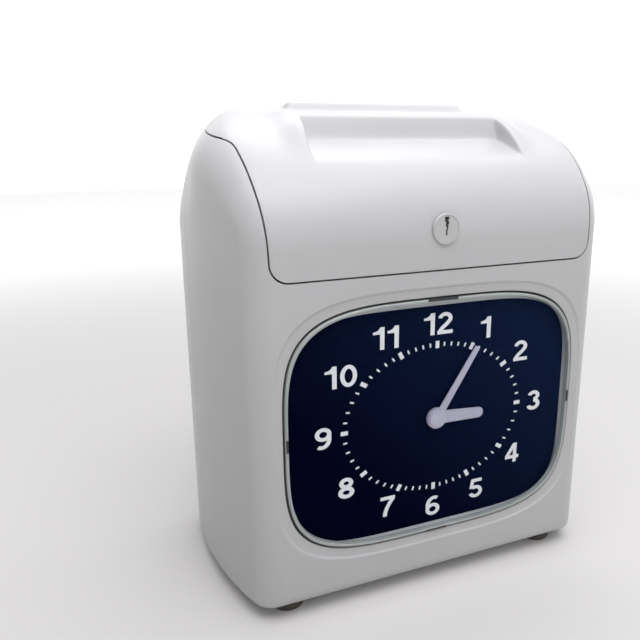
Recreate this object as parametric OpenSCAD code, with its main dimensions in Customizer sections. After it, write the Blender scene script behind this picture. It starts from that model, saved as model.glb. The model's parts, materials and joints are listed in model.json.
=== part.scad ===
// Punch time clock: two-part moulded housing with a dial window, a hinged and locked
// top cover with a card slot, an analogue movement, and a card feed and printer inside.
// Millimetres, +Z up, front towards -Y, origin under the middle of the object.

/* [Housing] */
// Width of the housing at its widest line
body_w = 210; // [206:1:214]
// Depth of the housing, front face to back face
body_d = 115; // [114:0.5:116]
// Height of the top of the housing above the table
top_z = 243; // [242:0.5:245]
// Height of the housing's underside above the table
base_z = 7; // [6:0.5:8]
// Wall thickness of the mouldings
wall = 2.5; // [2.2:0.1:2.6]
// Radius of the upright front corners
front_corner = 17; // [16:0.5:18]
// Radius of the shoulders seen from the front
shoulder = 24; // [22:1:26]

/* [Cover] */
// Height of the cover's lower front seam
seam_z = 163.6; // [162:0.2:165]
// Half of the cover's width on the front face
cover_half_w = 85; // [84:0.5:86]
// Gap between the cover and the housing
seam_gap = 0.8; // [0.6:0.1:1]
// Height of the key lock's axis
lock_z = 182.8; // [182:0.2:184]
// Radius of the key lock's face
lock_r = 7.1; // [6.8:0.1:7.3]

/* [Card slot] */
// Width of the card slot
slot_w = 94; // [92:1:96]
// Thickness of the card slot
slot_t = 5; // [4.8:0.1:5]
// Half of the width of the scoop in front of the slot
scoop_half_w = 57; // [55:1:58]

/* [Dial] */
// Height of the hands' axis
dial_z = 90; // [89:0.5:91]
// Half of the window's width
window_a = 80.2; // [79:0.1:80.5]
// Half of the window's height
window_b = 61; // [60:0.1:61.5]
// Half of the minute track's width
track_a = 49.1; // [48:0.1:50]
// Half of the minute track's height
track_b = 37.3; // [36:0.1:38]
// Length of the minute hand
minute_len = 40.5; // [36:0.5:42]
// Length of the hour hand
hour_len = 27.5; // [24:0.5:30]

/* [Feet] */
// Distance between the left and right feet
feet_x = 152; // [148:1:156]
// Distance between the front and rear feet
feet_y = 83; // [80:1:84]

/* [Hidden] */
$fn = 48;

white = [0.90, 0.90, 0.92];
steel = [0.70, 0.71, 0.73];
brass = [0.80, 0.66, 0.34];
black = [0.12, 0.12, 0.13];

// housing
front_y = -57;
back_y = front_y + body_d;
part_y = 12;                        // widest line, where the two mouldings meet
side_arc = 180;                     // radius of the sides seen from above
rear_corner = 12;
dome_z = 177;                       // where the front starts to curve back
dome_cy = 50;                       // depth at which the top is level
rear_top_r = 6;
bottom_r = 6;
bottom_side_r = 8;
part_gap = 0.4;
side_seam_z = 222;                  // cover seam on the sides, at side_seam_y
side_seam_y = -28;
side_seam_rise = 0.085;
cover_back_y = 43.6;
rear_edge_y = 45.3;                 // front edge of the housing behind the cover

// cover
hinge_y = 50;
hinge_z = top_z - 3;
hinge_x = 62;
knuckle_r = 2.4;
pin_r = 1.2;
slot_y = 6.5;                       // mid-depth of the card path
slot_front = slot_y - slot_t / 2;
slot_back = slot_y + slot_t / 2;
throat_z = 221;
lip_z = top_z - 0.6;
lip_half_w = 50.5;
throat_t = 2;                       // walls of the throat below the slot
scoop_front = [-38.2, 214.2];       // front edge of the scoop, depth and height
scoop_foot = [-19.5, 223];
scoop_crest = [-14.5, 234];
hump_top = [-10.5, 235.6];
hump_back_z = 237.4;
scoop_wall = 1.8;
knuckle_half = 4.5;
pin_half = 11;
pin_seat = 12;                      // half width of the rear case's seat round each pin
cover_corner = 9;

// lock
lock_face_y = front_y - 1;
lock_back_y = -41;
barrel_r = 5.5;
plug_r = 4;
cam_drive = 2.2;                    // half of the square that turns the cam
cam_len = 18;

// dial
dial_y = -52.8;
lens_front_y = front_y - 0.4;
lens_t = 1.5;
window_z = dial_z + 0.5;
plate_t = 1.5;
minute_angle = 33;
hour_angle = 92.75;
hand_t = 0.5;
minute_y = -54.9;
hour_y = -53.9;
hub_r = 5.3;                        // disc at the root of each hand
hour_round = 2.7;                   // half width of the hour hand's tip

// movement
motion_x = 12;                      // distance of the minute wheel from the hands' axis
pinion_x = -17.5;                   // distance of the motor pinion from the hands' axis
mesh_mod = 0.5;
hour_mod = 0.48;
tip_r = 1.2;                        // arbor where the minute hand sits
arbor_r = 1.5;
tube_r = 2.6;
axle_r = 1;
plate_y = [-46.5, -36.6];           // front faces of the movement's two plates
movement_t = 1.2;
movement_y = -35.4;                 // back of the rear movement plate
pillar_x = [-25, 19];
pillar_z = [-19, 19];

// card path and printer
guide_t = 1.5;
guide_half_w = 50;
guide_low_z = 62;
plate_x = 58;                       // inside face of the chassis side plates
plate_th = 2;
plate_low = 152;
plate_high = 208;
bars = [[-31.8, 182, 2], [44, 200, 3], [-30, 157, 2.5]]; // depth, height and radius of each tie bar
tab_x = 66;                         // chassis screws to the rear case
tab_z = [158, 202];
tab_y = 50;
feed_z = 170;
feed_r = 8;
nip = 0.2;
feed_y = slot_y + nip + feed_r;
pinch_r = 5.5;
pinch_y = slot_y - nip - pinch_r;
roller_x = 28;
roller_w = 10;
feed_shaft_r = 3;
small_shaft_r = 1.5;
bush_r = 5;
feed_gear_x = [-65, -62];
feed_mod = 0.8;
feed_teeth = 40;
feed_pin_teeth = 12;
feed_motor_y = feed_y + feed_mod * (feed_teeth + feed_pin_teeth) / 2;
rail_y = [-8, -22];
rail_z = 190;
rail_r = 2.5;
run_fit = 0.05;                     // radial clearance of a shaft in its bearing
pulley_x = 44;
pulley_y = -15;
pulley_z = 180;
pulley_r = 6;
belt_t = 1.2;
belt_w = 4.6;
head_half = 11;
spool_x = 38;
spool_y = -31.8;
ribbon_y = 3.2;                     // front face of the ribbon
button_x = [38, 52, 66];
button_y = -43;
deck_z = 161.5;
deck_t = 2;
deck_half_w = 82;
deck_y = [-54, -34.6];
switch_z = [154, 155.6];            // bottom and top of the setting board
button_r = 3.2;

// feet, posts and rear openings
foot_r = 8.5;
foot_boss_r = 4;
foot_boss_h = 12;
pilot_r = 1.6;                      // screw shanks and their holes
post_x = 88;
post_z = [20, 152];
post_r = 4.5;
head_well = 4;                      // radius and depth of the wells for the case screws
wall_hole_r = 2.5;
wall_hole_x = 78;
wall_hole_z = [30, 190];
vents = 7;
vent_half = 24;
vent_z = 160;
vent_pitch = 6;
vent_h = 2.4;
inlet_x = 58;
inlet_z = 27;
inlet_half = [13.3, 9.3];
inlet_play = 0.3;
socket_y = 44;                      // bottom of the mains socket

// electrics
board_x = [-84, 24];
board_y = [48, 49.6];
board_z = [42, 146];
stud_x = [-78, 18];
stud_z = [48, 140];
floor_z = base_z + wall;
cell_r = 6.8;
cell_pitch = 14;
cell_x = -62;

// ---------------------------------------------------------------- helpers
module along_x(x0, x1) { translate([x0, 0, 0]) rotate([90, 0, 90]) linear_extrude(x1 - x0) children(); }
module along_y(y0, y1) { translate([0, y1, 0]) rotate([90, 0, 0]) linear_extrude(y1 - y0) children(); }
module rod_x(x0, x1, y, z, r) { along_x(x0, x1) translate([y, z]) circle(r); }
module rod_y(y0, y1, x, z, r) { along_y(y0, y1) translate([x, z]) circle(r); }
module rod_z(z0, z1, x, y, r) { translate([x, y, z0]) cylinder(h = z1 - z0, r = r); }
module box(a, b) { translate(a) cube(b - a); }
module rotate_about(x, y, a) translate([x, y, 0]) rotate(a) translate([-x, -y, 0]) children();

function super_point(a, b, n, t) =
    [a * sign(cos(t)) * pow(abs(cos(t)), 2 / n), b * sign(sin(t)) * pow(abs(sin(t)), 2 / n)];
// television-screen outline: half sizes a and b
module screen(a, b) {
    power = 4;
    steps = 80;
    translate([0, window_z])
        polygon([for (i = [0:steps - 1]) super_point(a, b, power, 360 * i / steps)]);
}

// spur gear in its own plane: n teeth, module m, first tooth at angle phase
module gear(n, m, phase, hole) {
    pitch = 360 / n;
    r_root = m * (n / 2 - 1.25);
    r_tip = m * (n / 2 + 0.9);
    difference() {
        rotate(phase) polygon([
            for (i = [0:n - 1], k = [[-0.34, r_root], [-0.12, r_tip], [0.12, r_tip], [0.34, r_root]])
                [k[1] * cos((i + k[0]) * pitch), k[1] * sin((i + k[0]) * pitch)]]);
        circle(hole);
    }
}

// ---------------------------------------------------------------- housing shape
module plan_shape(t) {
    arc_c = body_w / 2 - side_arc;
    front_x = body_w / 2 - pow(part_y - front_y - front_corner, 2) / (2 * side_arc) - front_corner;
    rear_x = body_w / 2 - pow(back_y - rear_corner - part_y, 2) / (2 * side_arc) - rear_corner;
    intersection() {
        translate([arc_c, part_y]) circle(side_arc - t, $fn = 360);
        translate([-arc_c, part_y]) circle(side_arc - t, $fn = 360);
        union() {
            translate([-front_x, front_y + t]) square([2 * front_x, body_d - 2 * t]);
            translate([-body_w / 2, front_y + front_corner])
                square([body_w, body_d - front_corner - rear_corner]);
            translate([-rear_x, back_y - rear_corner]) square([2 * rear_x, rear_corner - t]);
            for (s = [-1, 1]) {
                translate([s * front_x, front_y + front_corner]) circle(front_corner - t);
                translate([s * rear_x, back_y - rear_corner]) circle(rear_corner - t);
            }
        }
    }
}

function arc_points(cy, cz, ry, rz, a0, a1, steps) =
    [for (i = [0:steps]) let (a = a0 + (a1 - a0) * i / steps) [cy + ry * cos(a), cz + rz * sin(a)]];

// side view: upright front, curved top, upright back
module side_shape(t) {
    lo = base_z + t;
    polygon(concat(
        arc_points(front_y + bottom_r, base_z + bottom_r, bottom_r - t, bottom_r - t, 270, 180, 4),
        arc_points(dome_cy, dome_z, dome_cy - front_y - t, top_z - dome_z - t, 180, 90, 22),
        arc_points(back_y - rear_top_r, top_z - rear_top_r, rear_top_r - t, rear_top_r - t, 90, 0, 5),
        arc_points(back_y - bottom_r, base_z + bottom_r, bottom_r - t, bottom_r - t, 0, -90, 4)));
}

module front_shape(t) {
    w = body_w / 2 - t;
    sx = body_w / 2 - shoulder;
    bx = body_w / 2 - bottom_side_r;
    translate([-w, base_z + bottom_side_r]) square([2 * w, top_z - shoulder - base_z - bottom_side_r]);
    translate([-sx, top_z - shoulder]) square([2 * sx, shoulder - t]);
    translate([-bx, base_z + t]) square([2 * bx, bottom_side_r - t]);
    for (s = [-1, 1]) {
        translate([s * sx, top_z - shoulder]) circle(shoulder - t, $fn = 96);
        translate([s * bx, base_z + bottom_side_r]) circle(bottom_side_r - t);
    }
}

module housing(t) {
    intersection() {
        translate([0, 0, -1]) linear_extrude(top_z + 3) plan_shape(t);
        along_x(-body_w, body_w) side_shape(t);
        along_y(-body_d, body_d) front_shape(t);
    }
}

// space of the cover, shrunk by g on every seam
module cover_zone(g) {
    r = cover_corner;
    w = cover_half_w - g;
    z = seam_z + g;
    y1 = (g > 0) ? cover_back_y : rear_edge_y;
    along_y(front_y - 5, y1) {
        translate([-w, z + r]) square([2 * w, top_z - z]);
        translate([r - w, z]) square([2 * (w - r), 2 * r]);
        for (s = [-1, 1]) translate([s * (w - r), z + r]) circle(r);
    }
    along_x(-body_w, body_w) polygon([
        [front_y - 5, side_seam_z + g + (front_y - 5 - side_seam_y) * side_seam_rise],
        [y1, side_seam_z + g + (y1 - side_seam_y) * side_seam_rise],
        [y1, top_z + 10], [front_y - 5, top_z + 10]]);
}

// ---------------------------------------------------------------- housing parts
module case_shell() difference() {
    housing(0);
    housing(wall);
    cover_zone(0);
}
// screw posts from y0 to y1 and foot bosses at depth fy
module case_bosses(y0, y1, fy) {
    for (s = [-1, 1], z = post_z) rod_y(y0, y1, s * post_x, z, post_r);
    for (s = [-1, 1]) rod_z(base_z, base_z + foot_boss_h, s * feet_x / 2, fy, foot_boss_r);
}
// seat of each foot and the hole for its screw
module foot_holes(fy) for (s = [-1, 1]) {
    rod_z(base_z - 1, base_z + 0.5, s * feet_x / 2, fy, foot_r + 0.3);
    rod_z(base_z - 1, base_z + 9, s * feet_x / 2, fy, pilot_r);
}
module front_case() color(white) difference() {
    union() {
        case_shell();
        intersection() {
            housing(wall / 2);
            union() {
                case_bosses(front_y + 1, part_y, -feet_y / 2);
                // ledge that the deck panel rests on
                box([-cover_half_w, front_y + 1, deck_z - 2], [cover_half_w, front_y + 7, deck_z]);
            }
        }
    }
    along_y(front_y - 1, front_y + wall + 1) screen(window_a, window_b);
    box([-body_w, part_y - part_gap / 2, 0], [body_w, back_y + 1, top_z + 5]);
    for (s = [-1, 1], z = post_z) rod_y(-20, part_y + 1, s * post_x, z, pilot_r);
    foot_holes(-feet_y / 2);
}

module rear_case() color(white) difference() {
    union() {
        case_shell();
        intersection() {
            housing(wall / 2);
            union() {
                case_bosses(part_y, back_y, feet_y / 2);
                for (s = [-1, 1], z = tab_z) rod_y(tab_y, back_y, s * tab_x, z, 4);
                for (x = stud_x, z = stud_z) rod_y(board_y[1], back_y, x, z, 3);
                // seats of the hinge pins
                for (s = [-1, 1])
                    box([s * hinge_x - pin_seat, rear_edge_y, hinge_z - 6],
                        [s * hinge_x + pin_seat, back_y, top_z]);
            }
        }
    }
    box([-body_w, front_y - 1, 0], [body_w, part_y + part_gap / 2, top_z + 5]);
    // room for the cover's knuckles
    for (s = [-1, 1])
        box([s * hinge_x - knuckle_half - seam_gap, 44, hinge_z - 3.4],
            [s * hinge_x + knuckle_half + seam_gap, hinge_y + 3.4, top_z + 1]);
    for (s = [-1, 1]) rod_x(s * hinge_x - pin_half, s * hinge_x + pin_half, hinge_y, hinge_z, pin_r);
    for (s = [-1, 1], z = post_z) {
        rod_y(part_y - 1, back_y - head_well, s * post_x, z, 2.2);
        rod_y(back_y - head_well - 0.01, back_y + 1, s * post_x, z, head_well);
    }
    foot_holes(feet_y / 2);
    along_y(back_y - wall - 1, back_y + 1) {
        for (s = [-1, 1], z = wall_hole_z) translate([s * wall_hole_x, z]) circle(wall_hole_r);
        for (i = [0:vents - 1])
            translate([-vent_half, vent_z + vent_pitch * i]) square([2 * vent_half, vent_h]);
        translate([inlet_x, inlet_z])
            square(2 * (inlet_half + [inlet_play, inlet_play]), center = true);
    }
}

module hump_outline() {
    // outer line of scoop, wall and hump top, and the same line one thickness lower
    polygon([scoop_front, scoop_foot, scoop_crest, hump_top, [slot_front, hump_back_z],
        [slot_front, 235], [-10, 233.1], [-12.4, 232], [-17.9, 220.8], scoop_front - [0.6, 2.6]]);
}
module scoop_space() {
    polygon([scoop_front - [6, 0.01], scoop_foot, scoop_crest, [scoop_crest[0], 260], [-60, 260]]);
}
module cheek(outline) along_x(-scoop_wall / 2, scoop_wall / 2) polygon(outline);
module top_cover() color(white) difference() {
    union() {
        difference() {
            intersection() {
                housing(0);
                cover_zone(seam_gap);
            }
            difference() {
                housing(wall);
                // cheeks that close the ends of the scoop
                for (s = [-1, 1]) translate([s * (scoop_half_w + scoop_wall / 2), 0, 0])
                    cheek([scoop_front - [1, 3], [-12, 218], [-12, 245], scoop_front + [0, 30]]);
            }
        }
        along_x(-scoop_half_w, scoop_half_w) hump_outline();
        // closed ends of the raised hump
        for (s = [-1, 1]) translate([s * (scoop_half_w - scoop_wall / 2), 0, 0])
            cheek([scoop_crest, hump_top, [slot_front, hump_back_z], [slot_front, 233], [-18, 221]]);
        // throat that leads the card down, and the raised lip behind the slot
        box([-guide_half_w, slot_front - throat_t, throat_z], [guide_half_w, slot_front, 236]);
        box([-guide_half_w, slot_back, throat_z], [guide_half_w, slot_back + throat_t, 239]);
        for (s = [-1, 1])
            box([s * 48.5 - 1.5, slot_front - 1, throat_z], [s * 48.5 + 1.5, slot_back + 1, 237]);
        along_x(-lip_half_w, lip_half_w) polygon([[slot_back, 236], [slot_back, lip_z - 1.2],
            [slot_back + 1.2, lip_z], [slot_back + 3.4, lip_z], [slot_back + 12, 240.4],
            [slot_back + 12, 238], [slot_back + throat_t, 236]]);
        // knuckles and the arms that carry them
        for (s = [-1, 1]) {
            rod_x(s * hinge_x - knuckle_half, s * hinge_x + knuckle_half, hinge_y, hinge_z, knuckle_r);
            box([s * hinge_x - knuckle_half, cover_back_y - 8, hinge_z - 1.5],
                [s * hinge_x + knuckle_half, hinge_y - 1.9, hinge_z + 1.5]);
        }
        // boss behind the lock
        intersection() {
            housing(wall / 2);
            rod_y(front_y + 1, front_y + 5, 0, lock_z, 9.5);
        }
    }
    along_x(-scoop_half_w, scoop_half_w) scoop_space();
    box([-slot_w / 2, slot_front, throat_z - 1], [slot_w / 2, slot_back, lip_z + 5]);
    rod_y(front_y - 1, front_y + 6, 0, lock_z, barrel_r + 0.1);
    for (s = [-1, 1]) rod_x(s * hinge_x - 6, s * hinge_x + 6, hinge_y, hinge_z, pin_r + run_fit);
}

module hinge_pins() color(steel)
    for (s = [-1, 1]) rod_x(s * hinge_x - pin_half, s * hinge_x + pin_half, hinge_y, hinge_z, pin_r);

// ---------------------------------------------------------------- lock
module lock_barrel() color(white) difference() {
    union() {
        rod_y(lock_face_y, front_y, 0, lock_z, lock_r);
        rod_y(front_y, lock_back_y, 0, lock_z, barrel_r);
    }
    rod_y(lock_face_y - 1, lock_back_y + 1, 0, lock_z, plug_r + run_fit);
}
module lock_plug() color(steel) difference() {
    union() {
        rod_y(lock_face_y + 0.1, lock_back_y, 0, lock_z, plug_r);
        box([-cam_drive, lock_back_y, lock_z - cam_drive],
            [cam_drive, lock_back_y + 2.6, lock_z + cam_drive]);
    }
    box([-0.6, lock_face_y - 1, lock_z - 3], [0.6, lock_back_y - 4, lock_z + 3]);
}
module lock_cam() color(steel) along_y(lock_back_y + 0.1, lock_back_y + 2.1) difference() {
    union() {
        translate([0, lock_z]) circle(6);
        translate([0, lock_z - 4]) square([cam_len, 8]);
        translate([cam_len, lock_z]) circle(4);
    }
    translate([0, lock_z]) square(2 * cam_drive, center = true);
}
module lock_nut() color(brass) along_y(front_y + 5, front_y + 8) translate([0, lock_z]) difference() {
    circle(9, $fn = 6);
    circle(barrel_r);
}

// ---------------------------------------------------------------- dial and hands
module lens() color([0.8, 0.9, 0.95, 0.3]) {
    along_y(lens_front_y, lens_front_y + lens_t) screen(window_a - 0.8, window_b - 0.7);
    along_y(lens_front_y + lens_t, front_y + wall) difference() {
        screen(window_a - 0.8, window_b - 0.7);
        screen(window_a - 2.6, window_b - 2.5);
    }
    along_y(front_y + wall, front_y + wall + 1) difference() {
        screen(window_a + 2.4, window_b + 2.4);
        screen(window_a - 2.6, window_b - 2.5);
    }
}
module lens_frame() color(white) along_y(front_y + wall + 1, dial_y) difference() {
    screen(window_a + 2.4, window_b + 2.4);
    screen(window_a - 2.6, window_b - 2.5);
}
module dial_plate() color([0.05, 0.07, 0.20]) along_y(dial_y, dial_y + plate_t) difference() {
    screen(window_a + 2.4, window_b + 2.4);
    translate([0, dial_z]) circle(4);
}
function track_r(t) = 1 / sqrt(pow(sin(t) / track_a, 2) + pow(cos(t) / track_b, 2));
module dial_ticks() color("white")
    for (i = [0:59]) let (bold = i % 5 == 0, w = bold ? 2.0 : 0.8, l = bold ? 3.6 : 2.0)
        translate([0, 0, dial_z]) rotate([0, 6 * i, 0])
            box([-w / 2, dial_y - 0.15, track_r(6 * i) - l / 2], [w / 2, dial_y, track_r(6 * i) + l / 2]);

module minute_hand() color([0.88, 0.87, 0.95]) translate([0, 0, dial_z]) rotate([0, minute_angle, 0])
    difference() {
        union() {
            rod_y(minute_y, minute_y + hand_t, 0, 0, hub_r);
            along_y(minute_y, minute_y + hand_t)
                polygon([[-2, 1], [-1.4, minute_len], [1.4, minute_len], [2, 1]]);
        }
        rod_y(minute_y - 1, minute_y + 1, 0, 0, tip_r);
    }
module hour_hand() color([0.88, 0.87, 0.95]) translate([0, 0, dial_z]) rotate([0, hour_angle, 0])
    difference() {
        union() {
            rod_y(hour_y, hour_y + 0.6, 0, 0, hub_r);
            rod_y(hour_y, hour_y + 0.6, 0, hour_len - hour_round, hour_round);
            along_y(hour_y, hour_y + 0.6) polygon([[-3.4, 1], [-hour_round, hour_len - hour_round],
                [hour_round, hour_len - hour_round], [3.4, 1]]);
        }
        rod_y(hour_y - 1, hour_y + 1, 0, 0, tube_r);
    }
module hand_cap() color([0.92, 0.91, 0.98]) rod_y(minute_y - 0.7, minute_y, 0, dial_z, 4.4);

// ---------------------------------------------------------------- movement
module minute_arbor() color(steel) {
    rod_y(minute_y, -50, 0, dial_z, tip_r);
    rod_y(-50, -35.6, 0, dial_z, arbor_r);
    along_y(-48.7, -47.1) translate([0, dial_z]) gear(12, mesh_mod, 0, arbor_r);
}
module hour_wheel() color(brass) {
    along_y(hour_y, -49.2) translate([0, dial_z]) difference() {
        circle(tube_r);
        circle(arbor_r + 2 * run_fit);
    }
    along_y(-50.6, -49.2) translate([0, dial_z]) gear(40, hour_mod, 0, tube_r);
}
module minute_wheel() color(brass) translate([motion_x, 0, dial_z]) {
    along_y(-50.6, -48.6) gear(10, hour_mod, 18, axle_r + run_fit);
    along_y(-48.6, -47.2) gear(36, mesh_mod, 5, axle_r + run_fit);
}
module drive_wheel() color(brass)
    along_y(-43.5, -42.1) translate([0, dial_z]) gear(60, mesh_mod, 0, arbor_r);
module motor_pinion() color(steel) translate([pinion_x, 0, dial_z]) {
    along_y(-44, -41.6) gear(10, mesh_mod, 18, axle_r);
    rod_y(-46.4, movement_y, 0, 0, axle_r);
}
module movement_plates() color(brass) for (y = plate_y) along_y(y, y + movement_t) difference() {
    translate([pillar_x[0] - 4, dial_z - 23]) square([52, 46]);
    translate([0, dial_z]) circle(arbor_r + run_fit);
    translate([pinion_x, dial_z]) circle(axle_r + run_fit);
    for (x = pillar_x, z = pillar_z) translate([x, dial_z + z]) circle(1.4);
}
module movement_pillars() color(steel) {
    for (x = pillar_x, z = pillar_z) {
        rod_y(dial_y + plate_t, plate_y[0], x, dial_z + z, 2.4);
        rod_y(plate_y[0], movement_y, x, dial_z + z, 1.4);
        rod_y(plate_y[0] + movement_t, plate_y[1], x, dial_z + z, 2.4);
    }
    rod_y(-50.7, plate_y[0], motion_x, dial_z, axle_r);
}
module movement_motor() color(black) {
    rod_y(movement_y, -21, pinion_x + 2, dial_z, 15);
    along_y(movement_y, -34) translate([pinion_x - 16, dial_z - 4]) square([36, 8]);
}

// ---------------------------------------------------------------- chassis
module side_plate(s) {
    x = s > 0 ? plate_x : -plate_x - plate_th;
    difference() {
        union() {
            along_x(x, x + plate_th) difference() {
                translate([-34, plate_low]) square([84, plate_high - plate_low]);
                translate([feed_y, feed_z]) circle(bush_r);
                translate([pinch_y, feed_z]) circle(small_shaft_r + run_fit);
                for (y = rail_y) translate([y, rail_z]) circle(rail_r);
                if (s < 0) translate([feed_motor_y, feed_z]) circle(6);
                for (b = bars) translate([b[0], b[1]]) circle(b[2]);
                translate([20, 190]) circle(7);
            }
            box([s > 0 ? plate_x : -75, 48, plate_low], [s > 0 ? 75 : -plate_x, tab_y, plate_high]);
        }
        for (z = tab_z) rod_y(47, tab_y + 1, s * tab_x, z, pilot_r);
    }
}
module chassis_frame() color(steel) {
    side_plate(-1);
    side_plate(1);
}
module chassis_bars() color(steel)
    for (b = bars) rod_x(-plate_x - plate_th, plate_x + plate_th, b[0], b[1], b[2]);

// ---------------------------------------------------------------- card path
module guide_tabs(y) for (s = [-1, 1], z = [153, 183])
    box([s > 0 ? guide_half_w - 1 : -plate_x, y, z],
        [s > 0 ? plate_x : 1 - guide_half_w, y + guide_t, z + 4]);
module card_guide_front() color(steel) difference() {
    union() {
        box([-guide_half_w, slot_front - guide_t, guide_low_z], [guide_half_w, slot_front, 187]);
        guide_tabs(slot_front - guide_t);
    }
    for (s = [-1, 1]) box([s * roller_x - 6, -1, feed_z - 8], [s * roller_x + 6, 5, feed_z + 8]);
}
module card_guide_rear() color(steel) difference() {
    union() {
        box([-guide_half_w, slot_back, guide_low_z], [guide_half_w, slot_back + guide_t, 217]);
        guide_tabs(slot_back);
    }
    for (s = [-1, 1]) box([s * roller_x - 6, 8, feed_z - 9], [s * roller_x + 6, 12, feed_z + 9]);
    box([-48.5, 8, 190.5], [48.5, 12, 203.5]);
}
module card_stop() color(black)
    box([-guide_half_w, slot_front - guide_t, guide_low_z - 3.5],
        [guide_half_w, slot_back + guide_t, guide_low_z]);
module platen() color(black) {
    box([-48, slot_back + 0.2, 191], [48, 13, 203]);
    box([-53, slot_back + guide_t, 188.5], [53, 13, 205.5]);
}

// ---------------------------------------------------------------- feed
module feed_shaft() color(steel) rod_x(-66, 61.5, feed_y, feed_z, feed_shaft_r);
module feed_rollers() color(black) for (s = [-1, 1])
    along_x(s * roller_x - roller_w / 2, s * roller_x + roller_w / 2) translate([feed_y, feed_z])
        difference() {
            circle(feed_r);
            circle(feed_shaft_r);
        }
module feed_gear() color("ivory") along_x(feed_gear_x[0], feed_gear_x[1]) translate([feed_y, feed_z])
    gear(feed_teeth, feed_mod, 0, feed_shaft_r);
module feed_bushes() color(brass) for (s = [-1, 1]) {
    along_x(s * 59 - 2, s * 59 + 2) translate([feed_y, feed_z]) difference() {
        circle(bush_r);
        circle(feed_shaft_r + run_fit);
    }
    along_x(s * 57.4 - 0.6, s * 57.4 + 0.6) translate([feed_y, feed_z]) difference() {
        circle(bush_r + 1.5);
        circle(feed_shaft_r + run_fit);
    }
}
module feed_motor() color(black) {
    rod_x(-57.9, -38, feed_motor_y, feed_z, 12);
    along_x(-57.9, -56.4) translate([feed_motor_y - 4, feed_z - 17]) square([8, 34]);
}
module feed_pinion() color(steel) {
    along_x(feed_gear_x[0], feed_gear_x[1]) translate([feed_motor_y, feed_z])
        gear(feed_pin_teeth, feed_mod, 15, small_shaft_r);
    rod_x(-65.5, -58.2, feed_motor_y, feed_z, small_shaft_r);
}
module pinch_rollers() color([0.25, 0.25, 0.27]) {
    rod_x(-plate_x - plate_th, plate_x + plate_th, pinch_y, feed_z, small_shaft_r);
    for (s = [-1, 1])
        rod_x(s * roller_x - roller_w / 2, s * roller_x + roller_w / 2, pinch_y, feed_z, pinch_r);
}

// ---------------------------------------------------------------- printer
module guide_shafts() color(steel)
    for (y = rail_y) rod_x(-plate_x - plate_th, plate_x + plate_th, y, rail_z, rail_r);
module head_carriage() color(black) {
    difference() {
        box([-head_half, -26, 184.6], [head_half, -3, 195.5]);
        for (y = rail_y) rod_x(-head_half - 1, head_half + 1, y, rail_z, rail_r + run_fit);
    }
    // fork round the belt
    belt_y = pulley_y + pulley_r;
    for (s = [-1, 1]) box([-4, belt_y + s * 1.75 - 0.85, 178], [4, belt_y + s * 1.75 + 0.85, 184.6]);
}
module print_head() color([0.35, 0.35, 0.38]) {
    box([-9, -20, 195.5], [9, -5, 197.5]);
    for (i = [0:4]) box([-9, -20 + 3.4 * i, 197.5], [9, -18.6 + 3.4 * i, 208]);
    box([-6.5, -19, 197.5], [6.5, -5, 206]);
    box([-3, -5, 195.5], [3, 2.6, 202]);
}
module belt_loop(r0, r1) difference() {
    union() {
        translate([-pulley_x, pulley_y - r1]) square([2 * pulley_x, 2 * r1]);
        for (s = [-1, 1]) translate([s * pulley_x, pulley_y]) circle(r1);
    }
    translate([-pulley_x, pulley_y - r0]) square([2 * pulley_x, 2 * r0]);
    for (s = [-1, 1]) translate([s * pulley_x, pulley_y]) circle(r0);
}
module carriage_belt() color(black) translate([0, 0, pulley_z - 1.3]) linear_extrude(belt_w)
    belt_loop(pulley_r - belt_t / 2, pulley_r + belt_t / 2);
module pulley_body(x, bore) difference() {
    union() {
        rod_z(178, 184.2, x, pulley_y, 5);
        rod_z(183.6, 184.2, x, pulley_y, 6.8);
    }
    rod_z(177, 185, x, pulley_y, bore);
}
module drive_pulley() color("ivory") {
    pulley_body(-pulley_x, small_shaft_r);
    rod_z(176.1, 184.2, -pulley_x, pulley_y, small_shaft_r);
}
module idler_pulley() color("ivory") pulley_body(pulley_x, small_shaft_r + run_fit);
module belt_bracket() color(steel) {
    difference() {
        box([-plate_x, -24, 176], [plate_x, -5.5, 177.6]);
        rod_z(175, 179, -pulley_x, pulley_y, 2.2);
    }
    rod_z(177.6, 184.4, pulley_x, pulley_y, small_shaft_r);
}
module carriage_motor() color(black) {
    rod_z(154, 175.6, -pulley_x, pulley_y, 10.5);
    translate([-pulley_x - 4, pulley_y - 9.5, 174.6]) cube([8, 19, 1.4]);
}
module ribbon_cassette() color(black) difference() {
    union() {
        box([-54, -35, 184], [54, -28.6, 206]);
        for (s = [-1, 1]) box([s * 51.5 - 2.5, -28.7, 193], [s * 51.5 + 2.5, ribbon_y, 204]);
    }
    rod_z(183, 207, spool_x, spool_y, 1.6);
}
module ribbon_strand() color([0.25, 0.1, 0.35])
    box([-54, ribbon_y, 193.5], [54, ribbon_y + 0.2, 202.5]);
module ribbon_knob() color("ivory") {
    rod_z(184.4, 206.4, spool_x, spool_y, 1.6 - run_fit);
    difference() {
        rod_z(206.4, 210, spool_x, spool_y, 4.5);
        for (i = [0:7]) rotate_about(spool_x, spool_y, 45 * i)
            rod_z(206, 211, spool_x + 4.8, spool_y, 0.9);
    }
}

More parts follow.
